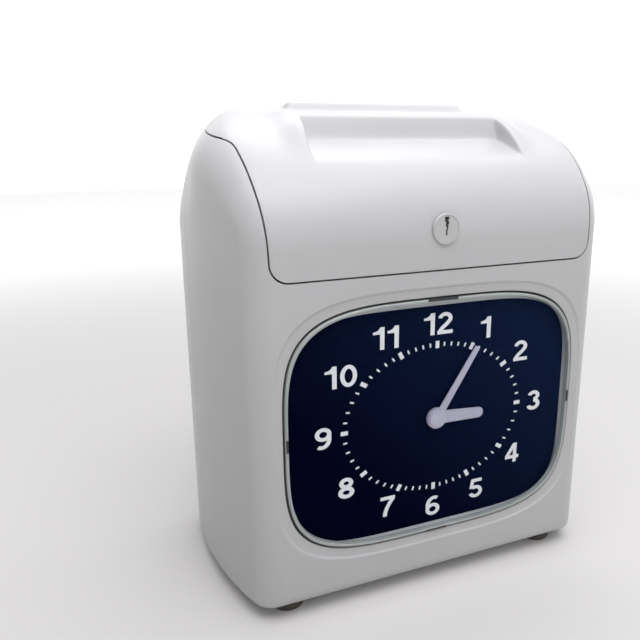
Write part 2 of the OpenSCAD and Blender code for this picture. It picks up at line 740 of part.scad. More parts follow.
// ---------------------------------------------------------------- controls and electrics
module deck_panel() color([0.8, 0.8, 0.82]) {
    difference() {
        box([-deck_half_w, deck_y[0], deck_z], [deck_half_w, deck_y[1], deck_z + deck_t]);
        box([-6, lock_back_y - 0.1, deck_z - 1], [17, -34, deck_z + deck_t + 1]);
        for (x = button_x) rod_z(deck_z - 1, deck_z + deck_t + 1, x, button_y, button_r + 0.4);
    }
    for (x = [31, 73]) rod_z(switch_z[1], deck_z, x, button_y, 1.6);
}
module setting_board() color([0.1, 0.35, 0.2]) {
    box([28, -49.5, switch_z[0]], [76, -36.5, switch_z[1]]);
    for (x = button_x) box([x - 3, button_y - 3, switch_z[1]], [x + 3, button_y + 3, switch_z[1] + 1.4]);
}
module set_button(x) color([0.3, 0.32, 0.36]) {
    rod_z(159.4, 166.5, x, button_y, button_r);
    rod_z(158.2, 159.4, x, button_y, button_r + 1.2);
}
module set_button_a() set_button(button_x[0]);
module set_button_b() set_button(button_x[1]);
module set_button_c() set_button(button_x[2]);

module main_board() color([0.1, 0.35, 0.2])
    box([board_x[0], board_y[0], board_z[0]], [board_x[1], board_y[1], board_z[1]]);
module board_parts() color(black) {
    box([-60, 45, 100], [-36, board_y[0], 124]);
    box([-20, 45, 104], [-6, board_y[0], 116]);
    box([-70, 38, 46], [-30, board_y[0], 54]);
    for (x = [-14, -2, 10]) rod_y(32, board_y[0], x, 66, 5);
    rod_y(40, board_y[0], 8, 124, 7);
    box([-66, 43, 130], [-20, board_y[0], 138]);
}
module transformer() color([0.45, 0.42, 0.40]) {
    box([-20, 15, floor_z], [26, 45, floor_z + 5]);
    box([-14, 17, floor_z + 5], [20, 43, floor_z + 38]);
    box([-10, 13.4, floor_z + 9], [16, 46.4, floor_z + 34]);
}
module battery_pack() color([0.2, 0.4, 0.65]) {
    for (i = [0:2]) rod_y(16, 44, cell_x + cell_pitch * i, floor_z + 7, cell_r);
    box([cell_x - 7, 20, floor_z], [cell_x + 35, 40, floor_z + 4]);
}
module power_inlet() color(black) {
    difference() {
        union() {
            box([inlet_x - inlet_half[0], 40, inlet_z - inlet_half[1]],
                [inlet_x + inlet_half[0], back_y, inlet_z + inlet_half[1]]);
            box([inlet_x - 17, 53, inlet_z - inlet_half[1]], [inlet_x + 17, back_y - wall, inlet_z + 12]);
        }
        along_y(socket_y, back_y + 1) translate([inlet_x, inlet_z]) {
            translate([-5, -4]) square([10, 8]);
            for (s = [-1, 1]) translate([5 * s, 0]) circle(4);
        }
    }
    for (s = [-1, 1]) rod_y(socket_y - 0.1, 52, inlet_x + 4.3 * s, inlet_z, 1.2);
}

// ---------------------------------------------------------------- feet and fasteners
module each_foot() for (x = [-1, 1], y = [-1, 1]) translate([x * feet_x / 2, y * feet_y / 2, 0]) children();
module rubber_feet() color([0.30, 0.27, 0.25]) each_foot() difference() {
    rotate_extrude() polygon([[0, 0], [foot_r - 1.2, 0], [foot_r - 0.3, 0.5], [foot_r, 1.4],
        [foot_r, base_z + 0.5], [0, base_z + 0.5]]);
    translate([0, 0, -1]) cylinder(h = 4, r = 4);
    cylinder(h = base_z + 2, r = 1.8);
}
module foot_screws() color(steel) each_foot() {
    translate([0, 0, 1]) cylinder(h = 2, r = 3.4);
    translate([0, 0, 3]) cylinder(h = base_z + 4, r = pilot_r);
}
module case_screws() color(steel) for (s = [-1, 1], z = post_z) {
    rod_y(back_y - head_well, back_y - 2, s * post_x, z, 3.6);
    rod_y(-8, back_y - head_well, s * post_x, z, pilot_r);
}

front_case();
rear_case();
top_cover();
hinge_pins();
lock_barrel();
lock_plug();
lock_cam();
lock_nut();
lens();
lens_frame();
dial_plate();
dial_ticks();
minute_hand();
hour_hand();
hand_cap();
minute_arbor();
hour_wheel();
minute_wheel();
drive_wheel();
movement_plates();
movement_pillars();
movement_motor();
motor_pinion();
chassis_frame();
chassis_bars();
card_guide_front();
card_guide_rear();
card_stop();
platen();
guide_shafts();
head_carriage();
print_head();
carriage_belt();
drive_pulley();
idler_pulley();
belt_bracket();
carriage_motor();
ribbon_cassette();
ribbon_strand();
ribbon_knob();
feed_shaft();
feed_rollers();
feed_gear();
feed_bushes();
feed_motor();
feed_pinion();
pinch_rollers();
deck_panel();
setting_board();
set_button_a();
set_button_b();
set_button_c();
main_board();
board_parts();
transformer();
battery_pack();
power_inlet();
rubber_feet();
foot_screws();
case_screws();
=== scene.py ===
"""Looks of a punch time clock: moulded housing, locking top cover, dial window, movement and printer."""
import json
import math

import bmesh
import bpy
import numpy as np
from mathutils import Matrix, Vector
from mathutils.bvhtree import BVHTree


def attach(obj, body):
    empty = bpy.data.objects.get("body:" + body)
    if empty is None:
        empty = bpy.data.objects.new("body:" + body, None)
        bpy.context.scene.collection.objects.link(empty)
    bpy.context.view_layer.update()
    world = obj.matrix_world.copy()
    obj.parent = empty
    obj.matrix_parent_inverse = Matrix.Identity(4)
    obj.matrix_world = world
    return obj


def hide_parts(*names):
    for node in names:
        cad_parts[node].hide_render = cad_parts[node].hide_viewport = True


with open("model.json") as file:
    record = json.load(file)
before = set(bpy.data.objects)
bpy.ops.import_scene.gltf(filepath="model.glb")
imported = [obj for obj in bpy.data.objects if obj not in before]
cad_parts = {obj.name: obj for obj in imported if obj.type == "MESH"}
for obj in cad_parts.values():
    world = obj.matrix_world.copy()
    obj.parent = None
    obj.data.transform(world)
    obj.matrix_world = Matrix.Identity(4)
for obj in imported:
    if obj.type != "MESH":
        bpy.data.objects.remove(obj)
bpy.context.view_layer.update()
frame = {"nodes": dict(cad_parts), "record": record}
MM = 0.001

# ---------------------------------------------------------------- sizes, in millimetres
FRONT, BACK, BASE, TOP = -57.0, 58.0, 7.0, 243.0
WALL = 2.5
PART_Y, CASE_GAP = 12.0, 0.2                                # joint of front and rear case, half its gap
HALF_W, SIDE_R = 105.0, 180.0                               # half width, radius of the bowed sides
DOME_Y, DOME_Z, DOME_A, DOME_B = 50.0, 177.0, 107.0, 66.0   # ellipse of the cover seen from the side
R_FRONT, R_TOP, R_REAR, R_LOW = 13.5, 44.0, 12.0, 3.5       # radius of the side edges
TALL = 1.32                                                 # a rear shoulder's height over its width
EDGE_R = 6.0                                                # base edges and top rear edge
SEAM_Z, SEAM_GAP = 163.6, 0.8                               # cover's lower edge, gap all round it
COVER_BACK, REAR_EDGE = 43.6, 45.3                          # both sides of the seam behind the cover
SLOT_HALF, SLOT_0, SLOT_1 = 47.0, 4.0, 9.0                  # card slot: half width, front and back
LIP_Z = 242.4                                               # lip behind the card slot
SCOOP_HALF, SCOOP_BACK = 56.2, 3.0
HUMP_HALF, HUMP_RISE = 57.6, 4.3                            # raised band round the scoop
WIN_A, WIN_B, WIN_Z = 80.2, 61.0, 90.5                      # window: half width, half height, centre
DISH_W, DISH_DEEP = 5.0, 1.0                                # dished border of the window
DIAL_Y = -52.8                                              # face of the dial
LOCK_Z, LOCK_BACK = 182.8, -41.0
HINGE_X, HINGE_Y, HINGE_Z = 62.0, 50.0, 240.0
KNUCKLE_R, KNUCKLE_HALF, PIN_R = 2.4, 4.5, 1.2
WELL_X, WELL_Z, WALL_HOLE_X, WALL_HOLE_Z = 88, (20, 152), 78, (30, 190)
OUTER = 130                                                 # beyond the housing on every side


# ---------------------------------------------------------------- materials
def shader_nodes(name):
    mat = bpy.data.materials.new(name)
    mat.use_nodes = True
    tree = mat.node_tree
    return mat, tree, tree.nodes["Principled BSDF"]


def add(tree, kind, **settings):
    node = tree.nodes.new(kind)
    for key, value in settings.items():
        if key in node.inputs:
            node.inputs[key].default_value = value
        else:
            setattr(node, key, value)
    return node


def tinted(tree, source, low, high):
    """Base colour between two colours, led by a pattern."""
    ramp = add(tree, "ShaderNodeValToRGB")
    ends = ramp.color_ramp.elements
    ends[0].position, ends[1].position = 0.3, 0.7
    ends[0].color, ends[1].color = (*low, 1), (*high, 1)
    tree.links.new(source, ramp.inputs["Fac"])
    tree.links.new(ramp.outputs["Color"], tree.nodes["Principled BSDF"].inputs["Base Color"])


def uneven_gloss(tree, source, low, high):
    gloss = add(tree, "ShaderNodeMapRange")
    gloss.inputs["To Min"].default_value, gloss.inputs["To Max"].default_value = low, high
    tree.links.new(source, gloss.inputs["Value"])
    tree.links.new(gloss.outputs["Result"], tree.nodes["Principled BSDF"].inputs["Roughness"])


def relief(tree, source, strength, distance):
    bump = add(tree, "ShaderNodeBump", Strength=strength, Distance=distance)
    tree.links.new(source, bump.inputs["Height"])
    tree.links.new(bump.outputs["Normal"], tree.nodes["Principled BSDF"].inputs["Normal"])


def moulded(name, low, high, rough=0.4, scale=14.0, grain=900.0, bump=0.04, metal=0.0, coat=0.0,
            spec=0.5):
    """Plastic or metal with broad colour variation, a fine grain and uneven gloss."""
    mat, tree, bsdf = shader_nodes(name)
    coord = add(tree, "ShaderNodeTexCoord")
    cloud = add(tree, "ShaderNodeTexNoise", Scale=scale, Detail=4.0, Roughness=0.6)
    fine = add(tree, "ShaderNodeTexNoise", Scale=grain, Detail=3.0, Roughness=0.5)
    for noise in (cloud, fine):
        tree.links.new(coord.outputs["Object"], noise.inputs["Vector"])
    tinted(tree, cloud.outputs["Fac"], low, high)
    uneven_gloss(tree, fine.outputs["Fac"], rough * 0.86, rough * 1.14)
    relief(tree, fine.outputs["Fac"], bump, 0.0002)
    bsdf.inputs["Metallic"].default_value = metal
    bsdf.inputs["Coat Weight"].default_value = coat
    bsdf.inputs["Coat Roughness"].default_value = 0.12
    bsdf.inputs["Specular IOR Level"].default_value = spec
    return mat


def brushed(name, low, high, rough=0.3, axis=0):
    """Metal with fine lines along one axis."""
    mat, tree, bsdf = shader_nodes(name)
    link = tree.links.new
    coord = add(tree, "ShaderNodeTexCoord")
    stretch = add(tree, "ShaderNodeMapping")
    across, along = 900.0, 18.0
    stretch.inputs["Scale"].default_value = [along if k == axis else across for k in range(3)]
    link(coord.outputs["Object"], stretch.inputs["Vector"])
    lines = add(tree, "ShaderNodeTexNoise", Scale=1.0, Detail=5.0, Roughness=0.6)
    link(stretch.outputs["Vector"], lines.inputs["Vector"])
    tinted(tree, lines.outputs["Fac"], low, high)
    uneven_gloss(tree, lines.outputs["Fac"], rough * 0.7, rough * 1.3)
    relief(tree, lines.outputs["Fac"], 0.08, 0.0001)
    bsdf.inputs["Metallic"].default_value = 1.0
    return mat


def dial_material():
    """Navy card with a fine cloth-like grain, and painted light: a little lighter towards the upper right,
    standing for a soft reflection.
    """
    mat, tree, bsdf = shader_nodes("dial_navy")
    link = tree.links.new
    coord = add(tree, "ShaderNodeTexCoord")
    # painted light: the navy lightens towards the upper right of the dial, as a soft reflection would
    apart = add(tree, "ShaderNodeSeparateXYZ")
    link(coord.outputs["Object"], apart.inputs["Vector"])
    painted_light_slope = add(tree, "ShaderNodeMath", operation="MULTIPLY_ADD")
    link(apart.outputs["X"], painted_light_slope.inputs[0])
    painted_light_slope.inputs[1].default_value = 1.0
    link(apart.outputs["Z"], painted_light_slope.inputs[2])
    across = add(tree, "ShaderNodeMapRange")
    across.inputs["From Min"].default_value = 0.02
    across.inputs["From Max"].default_value = 0.22
    link(painted_light_slope.outputs["Value"], across.inputs["Value"])
    navy_and_painted_light = add(tree, "ShaderNodeValToRGB")
    navy_and_painted_light.color_ramp.elements[0].color = (0.0003, 0.0007, 0.0115, 1)
    navy_and_painted_light.color_ramp.elements[1].color = (0.0062, 0.0150, 0.047, 1)
    link(across.outputs["Result"], navy_and_painted_light.inputs["Fac"])
    grain = add(tree, "ShaderNodeTexNoise", Scale=700.0, Detail=4.0, Roughness=0.7)
    link(coord.outputs["Object"], grain.inputs["Vector"])
    speck = add(tree, "ShaderNodeMapRange")
    speck.inputs["From Min"].default_value = 0.3
    speck.inputs["From Max"].default_value = 0.7
    speck.inputs["To Min"].default_value = 0.75
    speck.inputs["To Max"].default_value = 1.35
    link(grain.outputs["Fac"], speck.inputs["Value"])
    mixed = add(tree, "ShaderNodeMixRGB", blend_type="MULTIPLY")
    mixed.inputs["Fac"].default_value = 1.0
    link(navy_and_painted_light.outputs["Color"], mixed.inputs["Color1"])
    link(speck.outputs["Result"], mixed.inputs["Color2"])
    link(mixed.outputs["Color"], bsdf.inputs["Base Color"])
    relief(tree, grain.outputs["Fac"], 0.25, 0.0002)
    bsdf.inputs["Roughness"].default_value = 0.7
    bsdf.inputs["Specular IOR Level"].default_value = 0.01
    return mat


def pane_material():
    """Thin clear pane: mostly see-through, with a mirror film that strengthens at a glance."""
    mat, tree, bsdf = shader_nodes("clear_pane")
    tree.nodes.remove(bsdf)
    link = tree.links.new
    out = tree.nodes["Material Output"]
    clear = add(tree, "ShaderNodeBsdfTransparent")
    clear.inputs["Color"].default_value = (0.97, 0.98, 0.985, 1)
    film = add(tree, "ShaderNodeBsdfGlossy")
    film.inputs["Roughness"].default_value = 0.03
    glance = add(tree, "ShaderNodeFresnel")
    glance.inputs["IOR"].default_value = 1.03
    mix = add(tree, "ShaderNodeMixShader")
    link(glance.outputs["Fac"], mix.inputs["Fac"])
    link(clear.outputs["BSDF"], mix.inputs[1])
    link(film.outputs["BSDF"], mix.inputs[2])
    link(mix.outputs["Shader"], out.inputs["Surface"])
    return mat


MATS = {
    "housing_plastic": moulded("housing_plastic", (0.50, 0.498, 0.50), (0.53, 0.528, 0.53), rough=0.33,
                               scale=9, grain=1500, bump=0.03, coat=0.05, spec=0.35),
    "pale_plastic": moulded("pale_plastic", (0.50, 0.505, 0.51), (0.56, 0.565, 0.57), bump=0.03),
    "clear_plastic": pane_material(),
    "rim_plastic": moulded("rim_plastic", (0.30, 0.33, 0.32), (0.40, 0.43, 0.42), rough=0.14, scale=40,
                           grain=300, bump=0.01, coat=0.6),
    "dial_navy": dial_material(),
    "print_white": moulded("print_white", (0.88, 0.89, 0.90), (0.95, 0.96, 0.97), rough=0.6, scale=300),
    "hand_lavender": moulded("hand_lavender", (0.48, 0.465, 0.58), (0.56, 0.545, 0.67), rough=0.35,
                             scale=60),
    "steel": brushed("steel", (0.42, 0.43, 0.45), (0.62, 0.63, 0.65)),
    "brass": brushed("brass", (0.50, 0.36, 0.13), (0.72, 0.54, 0.24)),
    "black_plastic": moulded("black_plastic", (0.010, 0.010, 0.011), (0.020, 0.020, 0.022), rough=0.45,
                             grain=1200, bump=0.15),
    "ivory_plastic": moulded("ivory_plastic", (0.58, 0.54, 0.42), (0.68, 0.64, 0.52), rough=0.42),
    "soft_black": moulded("soft_black", (0.012, 0.012, 0.013), (0.03, 0.03, 0.032), rough=0.75,
                          bump=0.25),
    "foot_rubber": moulded("foot_rubber", (0.045, 0.038, 0.033), (0.085, 0.073, 0.063), rough=0.8,
                           scale=120, bump=0.3),
    "board_green": moulded("board_green", (0.008, 0.07, 0.03), (0.015, 0.12, 0.055), rough=0.35,
                           scale=120, coat=0.3),
    "button_grey": moulded("button_grey", (0.035, 0.04, 0.055), (0.06, 0.065, 0.08), rough=0.5, bump=0.1),
    "battery_blue": moulded("battery_blue", (0.012, 0.05, 0.18), (0.02, 0.08, 0.26), rough=0.25,
                            coat=0.3),
    # near-black painted shade for the inside of the keyway
    "keyway_painted_shade": moulded("keyway_painted_shade", (0.002, 0.002, 0.002), (0.006, 0.006, 0.006), rough=0.6),
}
for part in frame["record"]["subparts"]:
    node = frame["nodes"][part["node"]]
    node.data.materials.clear()
    node.data.materials.append(MATS[part["material_slot"]])


# ---------------------------------------------------------------- mesh helpers
def new_object(name, verts, faces, material, weld=1e-3):
    """A mesh object from millimetre points, welded, with its faces pointing outwards."""
    mesh = bpy.data.meshes.new(name)
    mesh.from_pydata([tuple(c * MM for c in v) for v in verts], [], [tuple(f) for f in faces])
    bm = bmesh.new()
    bm.from_mesh(mesh)
    bmesh.ops.remove_doubles(bm, verts=bm.verts, dist=weld * MM)
    bmesh.ops.dissolve_degenerate(bm, edges=bm.edges, dist=weld * MM * 0.1)
    bmesh.ops.recalc_face_normals(bm, faces=bm.faces)
    if bm.calc_volume(signed=True) < 0:
        bmesh.ops.reverse_faces(bm, faces=bm.faces)
    bm.to_mesh(mesh)
    bm.free()
    obj = bpy.data.objects.new(name, mesh)
    bpy.context.scene.collection.objects.link(obj)
    if material:
        mesh.materials.append(MATS[material])
    return obj


def finish_piece(obj, body, slot, *nodes, smooth=35):
    """Rides the piece on its body. Smooth is the sharpest angle shaded as round; 0 leaves the shading."""
    if smooth:
        obj.data.shade_smooth()
        obj.data.set_sharp_from_angle(angle=math.radians(smooth))
    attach(obj, body)
    if nodes:
        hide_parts(*nodes)
    return obj


def prism(name, outline, axis, lo, hi):
    """Closed outline extruded along an axis: (y, z) along x, (x, z) along y, (x, y) along z."""
    n = len(outline)
    place = {0: lambda p, t: (t, p[0], p[1]), 1: lambda p, t: (p[0], t, p[1]),
             2: lambda p, t: (p[0], p[1], t)}[axis]
    verts = [place(p, lo) for p in outline] + [place(p, hi) for p in outline]
    faces = [list(range(n)), list(range(n, 2 * n))]
    faces += [(i, (i + 1) % n, n + (i + 1) % n, n + i) for i in range(n)]
    return new_object(name, verts, faces, None)


def block(name, lo, hi):
    return prism(name, [(lo[0], lo[1]), (hi[0], lo[1]), (hi[0], hi[1]), (lo[0], hi[1])], 2, lo[2], hi[2])


def disc(x, z, r, n=48):
    turns = [2 * math.pi * i / n for i in range(n)]
    return [(x + r * math.cos(a), z + r * math.sin(a)) for a in turns]


def tube(name, x, z, profile, material=None, n=32):
    """Ring about the y axis, from a closed profile of (radius, y)."""
    rings = [[(px, y, pz) for px, pz in disc(x, z, r, n)] for r, y in profile]
    return loft(name, rings, material, closed=True)


def boolean(obj, tool, how):
    """Cuts with a tool or adds it, and removes the tool."""
    mod = obj.modifiers.new("cut", "BOOLEAN")
    mod.operation = how
    mod.solver = "EXACT"
    mod.object = tool
    depsgraph = bpy.context.evaluated_depsgraph_get()
    mesh = bpy.data.meshes.new_from_object(obj.evaluated_get(depsgraph))
    obj.modifiers.clear()
    obj.data = mesh
    bpy.data.objects.remove(tool)
    return obj


def copy_of(obj, name):
    new = obj.copy()
    new.data = obj.data.copy()
    new.name = name
    bpy.context.scene.collection.objects.link(new)
    return new


def join_into(obj, *others):
    """Adds the meshes of other objects to the first one."""
    bm = bmesh.new()
    bm.from_mesh(obj.data)
    for other in others:
        bm.from_mesh(other.data)
        bpy.data.objects.remove(other)
    bm.to_mesh(obj.data)
    bm.free()
    return obj


def loft(name, rings, material, caps=True, closed=False):
    """Surface through equal rings of points."""
    n = len(rings[0])
    verts = [p for ring in rings for p in ring]
    faces = []
    count = len(rings)
    for i in range(count if closed else count - 1):
        a, b = i * n, ((i + 1) % count) * n
        faces += [(a + j, a + (j + 1) % n, b + (j + 1) % n, b + j) for j in range(n)]
    if caps and not closed:
        faces += [list(range(n)), list(range((count - 1) * n, count * n))]
    return new_object(name, verts, faces, material)


def screen(a, b, y, zc=WIN_Z, power=4.0, n=160):
    """Outline of the window at depth y, a superellipse with half axes a and b."""
    out = []
    for i in range(n):
        c, s = math.cos(2 * math.pi * i / n), math.sin(2 * math.pi * i / n)
        out.append((a * math.copysign(abs(c) ** (2 / power), c), y,
                    zc + b * math.copysign(abs(s) ** (2 / power), s)))
    return out


def step(x, lo, hi):
    """Smooth step from 0 at lo to 1 at hi."""
    t = min(max((x - lo) / (hi - lo), 0.0), 1.0)
    return t * t * (3 - 2 * t)


def soft_min(a, b, k):
    h = max(k - abs(a - b), 0.0) / k
    return min(a, b) - h * h * k / 4


def soft_max(a, b, k):
    return -soft_min(-a, -b, k)


# ---------------------------------------------------------------- housing skin
def dome(y):
    """Height of the plain top at depth y."""
    u = (DOME_Y - y) / DOME_A
    return DOME_Z + DOME_B * math.sqrt(max(1 - u * u, 0.0)) if y < DOME_Y else TOP


def rim_height(x, y):
    """Top of the housing with the raised hump round the scoop and the lip behind the slot."""
    z = dome(y)
    z += HUMP_RISE * step(y, -39, -20) * (1 - step(y, -12, 12)) * (1 - step(abs(x), HUMP_HALF, 70))
    lip = step(y, 8.6, 13.6) * (1 - step(y, 14.5, 27)) * (1 - step(abs(x), 49.5, 53.5))
    return z + max(LIP_Z - z, 0.0) * lip


def scoop_height(y):
    """Floor and back wall of the scoop."""
    floor = 214.2 + (y + 38.2) * 0.447
    wall = 223 + (y + 18.5) * 2.7
    return soft_max(floor, wall, 2.0)


def scoop_half(y):
    """Half width of the scoop, a little narrower at the back."""
    return SCOOP_HALF - 2.6 * step(y, -37, -14)


def outer_top(x, y, _):
    """Height of the outside at a point of the top; the plain height isn't needed."""
    rim = rim_height(x, y)
    half = scoop_half(y)
    inside = 1 - step(abs(x), half - 0.8, half + 0.9)
    return rim + (soft_min(rim, scoop_height(y), 1.6) - rim) * inside if y < SCOOP_BACK else rim


def inner_top(x, y, z):
    """Height of the inside at a point of the top whose plain height is z: only the scoop presses in."""
    half = scoop_half(y)
    inside = 1 - step(abs(x), half + 1.6, half + 3.2)
    return z + (min(z, scoop_height(y) - 2.6) - z) * inside if y < SCOOP_BACK else z


def lean(x, y, z):
    """The sides close in a little towards the top of the rear half."""
    inward = 4.0 * step(z, 180, 220) * (1 - 0.6 * step(z, 228, 241)) * step(y, -15, 20)
    return x * (1 - inward / HALF_W)


def side_rows(t):
    """Points round the side view at depth t: y, z, the inward normal's y and z, the radius of the side
    edge there, the edge's height over its width, and True on the top, False on a wall, None on an edge."""
    rows = []

    def arc(cy, cz, r, a0, a1, steps, r0, r1):
        for i in range(steps + 1):
            a = math.radians(a0 + (a1 - a0) * i / steps)
            rows.append((cy + r * math.cos(a), cz + r * math.sin(a), 0.0, 0.0,
                         r0 + (r1 - r0) * i / steps, TALL if cz > 200 else 1.0, None))

    arc(FRONT + EDGE_R, BASE + EDGE_R, EDGE_R - t, 270, 180, 8, R_LOW, R_FRONT)
    for z in [15, 18, 22, 27] + list(np.linspace(34, 170, 22)):
        rows.append((FRONT + t, z, 1.0, 0.0, R_FRONT, 1.0, False))
    a, b = DOME_A - t, DOME_B - t
    ys = [DOME_Y - a * math.cos(math.radians(d)) for d in np.linspace(0, 33, 22)]
    # rows lie closest together over the scoop, the slot and the lip
    ys += list(np.arange(ys[-1] + 0.5, -9, 0.5)) + list(np.arange(-9, 25, 0.7))
    ys += list(np.arange(25.5, DOME_Y, 2.2)) + [DOME_Y]
    early, middle = 4.0, 12.5                   # how much the side edges widen before the rear shoulder
    for y in ys:
        c = (y - DOME_Y) / a
        s = math.sqrt(max(1 - c * c, 0.0))
        n = Vector((-c / a, -s / b)).normalized()
        rise = early * step(y, -57, -45) + middle * step(y, -52, 18)
        rise += (R_TOP - R_FRONT - early - middle) * step(y, 10, 36)
        tall = 1 + (TALL - 1) * step(y, -12, 34)
        rows.append((y, DOME_Z + b * s, n.x, n.y, R_FRONT + rise, tall, True))
    arc(BACK - EDGE_R, TOP - EDGE_R, EDGE_R - t, 90, 0, 7, R_TOP, R_REAR)
    for z in list(np.linspace(235, 214, 10)) + list(np.linspace(205, 30, 18)) + [24, 19, 15]:
        rows.append((BACK - t, z, -1.0, 0.0, R_REAR, TALL, False))
    arc(BACK - EDGE_R, BASE + EDGE_R, EDGE_R - t, 0, -90, 7, R_REAR, R_LOW)
    for y in np.linspace(44, -43, 14):
        rows.append((y, BASE + t, 0.0, 1.0, R_LOW, 1.0, False))
    return rows


# distances of the points of a row from the middle, closest at the sides of the scoop; the ones past
# SQUEEZED move in where the flat part is narrow
COLUMNS = ([2.5 * i for i in range(20)] + [49 + 0.5 * i for i in range(10)] +
           [54 + 0.4 * i for i in range(16)] + [61 + 1.5 * i for i in range(7)])
SQUEEZED, SQUEEZE_SPAN = 40, 30
EXTRA_STEPS, ROUND_STEPS = 5, 10
SIDE_STEPS = [0.06, 0.14, 0.26, 0.4, 0.55, 0.7, 0.85, 1.0]
SIDE_MIDDLE_Y, SIDE_MIDDLE_Z = 6.0, 120.0       # where the rows of a side meet


def skin(name, t, shape_top):
    """Closed surface of the housing at depth t below the outside."""
    def side_x(y):
        return HALF_W - SIDE_R + math.sqrt((SIDE_R - t) ** 2 - (y - PART_Y) ** 2)

    def side_slope(y):
        return -(y - PART_Y) / math.sqrt((SIDE_R - t) ** 2 - (y - PART_Y) ** 2)

    # the flat part of a side lies between these
    low_y, high_y = FRONT + 9.7, BACK - 9.5
    low_z, high_z = BASE + R_LOW, TOP - R_TOP * TALL
    lines = []
    for y, z, ny, nz, r, tall, top in side_rows(t):
        d = r * tall * (1 - math.sin(math.atan(max(side_slope(y + r * ny) * ny, 0.0)))) - t
        qy = min(max(y + d * ny, low_y), high_y)
        qz = max(z + d * nz, low_z)
        if top is None:
            qy, qz = (low_y if y < 0 else high_y), (low_z if z < 60 else high_z)
        elif nz == 0:
            qy, qz = (low_y if ny > 0 else high_y), min(z, high_z)
        qx = side_x(qy)
        cx = qx + side_slope(qy) * (y - qy)
        reach = Vector((cx - qx, y - qy, (z - qz) / tall)).length
        x0 = cx - reach
        squeeze = min(1.0, (x0 - SQUEEZED - 2) / SQUEEZE_SPAN)
        columns = [x if x < SQUEEZED else SQUEEZED + (x - SQUEEZED) * squeeze for x in COLUMNS]
        last = columns[-1]
        columns += [last + (x0 - last) * k / EXTRA_STEPS for k in range(1, EXTRA_STEPS + 1)]
        half = [(x, y, z) for x in columns]
        for k in range(1, ROUND_STEPS + 1):
            phi = math.pi / 2 * k / ROUND_STEPS
            u, v = 1 - math.sin(phi), 1 - math.cos(phi)
            half.append((cx + (x0 - cx) * u + (qx - cx) * v, y + (qy - y) * v, z + (qz - z) * v))
        for s in SIDE_STEPS:
            yy = qy + (SIDE_MIDDLE_Y - qy) * s
            half.append((side_x(yy), yy, qz + (SIDE_MIDDLE_Z - qz) * s))
        if top or y > DOME_Y - 0.1 and z > 236:
            half = [(x, yy, shape_top(x, yy, zz) if k < len(columns) else zz)
                    for k, (x, yy, zz) in enumerate(half)]
        half = [(lean(x, yy, zz), yy, zz) for x, yy, zz in half]
        lines.append([(-x, yy, zz) for x, yy, zz in reversed(half[1:])] + half)
    width = len(lines[0])
    verts = [p for line in lines for p in line]
    faces = []
    for i in range(len(lines)):
        a, b = i * width, ((i + 1) % len(lines)) * width
        faces += [(a + j, a + j + 1, b + j + 1, b + j) for j in range(width - 1)]
    return new_object(name, verts, faces, None, weld=0.02)


outside = skin("outside", 0.0, outer_top)
inside = skin("inside", WALL, inner_top)


class Smooth:
    """A surface that cut pieces take their shading normals from."""

    def __init__(self, obj, flip=False):
        mesh = obj.data
        mesh.calc_loop_triangles()
        self.co = [v.co.copy() for v in mesh.vertices]
        sign = -1.0 if flip else 1.0
        self.no = [v.normal.copy() * sign for v in mesh.vertices]
        self.tris = [tuple(t.vertices) for t in mesh.loop_triangles]
        self.tree = BVHTree.FromPolygons(self.co, self.tris)

    def normal(self, point, face_normal):
        """The smooth normal at a point, or None if the point or its face isn't on the surface."""
        spot, _, index, dist = self.tree.find_nearest(point)
        if spot is None or dist > 0.00004:
            return None
        a, b, c = self.tris[index]
        pa, pb, pc = self.co[a], self.co[b], self.co[c]
        area = (pb - pa).cross(pc - pa).length
        if area < 1e-16:
            return None
        wa = (pb - spot).cross(pc - spot).length / area
        wb = (pc - spot).cross(pa - spot).length / area
        n = (self.no[a] * wa + self.no[b] * wb + self.no[c] * max(1 - wa - wb, 0.0)).normalized()
        return n if n.dot(face_normal) > 0.8 else None


def shade_from(obj, surfaces):
    """Sets corner normals from the smooth surfaces, and flat normals on plain cut faces."""
    mesh = obj.data
    mesh.shade_smooth()
    normals = [None] * len(mesh.loops)
    for poly in mesh.polygons:
        for li in poly.loop_indices:
            point = mesh.vertices[mesh.loops[li].vertex_index].co
            best = None
            for surface in surfaces:
                best = surface.normal(point, poly.normal)
                if best is not None:
                    break
            normals[li] = best if best is not None else poly.normal.copy()
    mesh.normals_split_custom_set(normals)


smooth_out = Smooth(outside)
smooth_in = Smooth(inside, flip=True)
shell = copy_of(outside, "shell")
boolean(shell, inside, "DIFFERENCE")
bpy.data.objects.remove(outside)


ABOVE = 262.0                                   # cutting tools reach this high


def cover_outline(g):
    """Front outline of the cover, inset by g: rounded lower corners, flaring a little upwards."""
    corner, half = 9, 84.5
    right = []
    for k in range(9):
        a = math.radians(-90 + 90 * k / 8)
        right.append((half - corner + corner * math.cos(a), SEAM_Z + corner + corner * math.sin(a)))
    for z in np.linspace(176, 220, 12):
        right.append((half + 4.6 * ((z - SEAM_Z - corner) / 46.2) ** 1.5, z))
    # the flare bends out into the seam of the sides
    right += [(89.8, 221.3), (90.6, 222.1), (91.5, 222.85), (92.4, 223.4), (92.4, ABOVE)]
    inset = []
    for i, (x, z) in enumerate(right):
        a, b = right[max(i - 1, 0)], right[min(i + 1, len(right) - 1)]
        t = Vector((b[0] - a[0], b[1] - a[1])).normalized()
        if i == 0:
            t = Vector((1, 0))
        if i == len(right) - 1:
            t = Vector((0, 1))
        inset.append((x - t.y * g, z + t.x * g))
    return [(-x, z) for x, z in reversed(inset)] + inset


